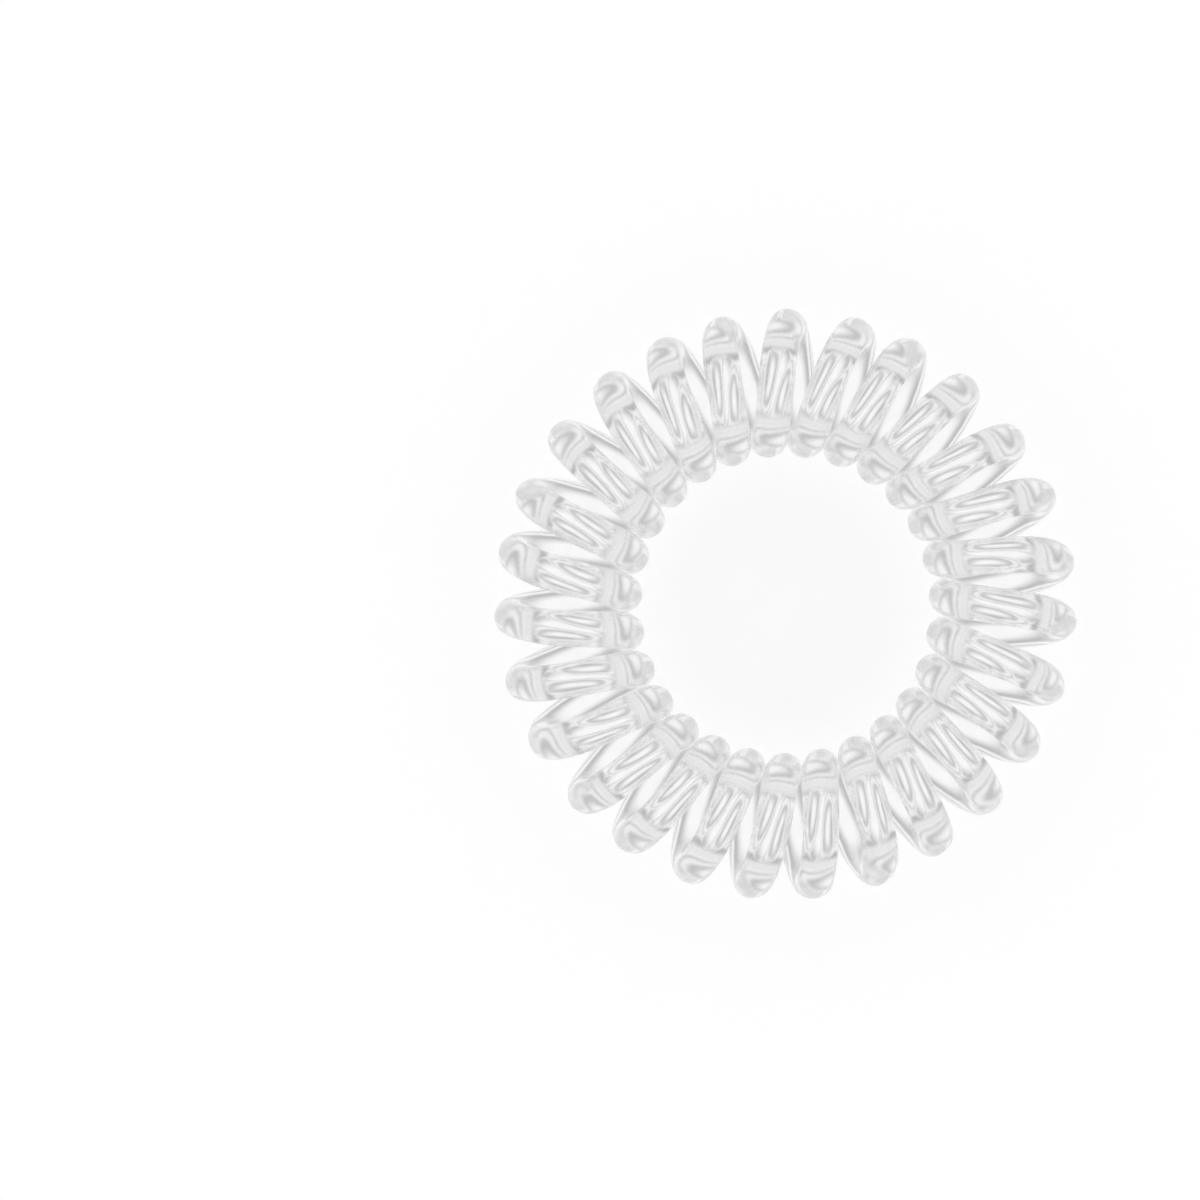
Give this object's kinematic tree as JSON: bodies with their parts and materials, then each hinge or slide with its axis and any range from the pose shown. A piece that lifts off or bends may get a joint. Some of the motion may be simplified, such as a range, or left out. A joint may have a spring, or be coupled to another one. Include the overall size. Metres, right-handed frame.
{
  "type": "spiral hair tie",
  "caption": "Springy clear strand wound into a close coil whose axis is bent round into a closed ring, worn round a bundle of hair or a wrist.",
  "frame": {"origin": "on the ring's axis, at the level of the surface that the turns rest on", "axes": "+Z along the ring's axis, away from that surface; +Y to the outermost point of one turn, half a degree off; +X to the right of it, seen from +Z"},
  "size_m": [0.0394, 0.0399, 0.011],
  "materials": {
    "clear_polyurethane": "clear, glossy thermoplastic polyurethane, extruded and heat-set"
  },
  "bodies": {
    "root": {"spiral_coil": "clear_polyurethane"}
  },
  "joints": []
}
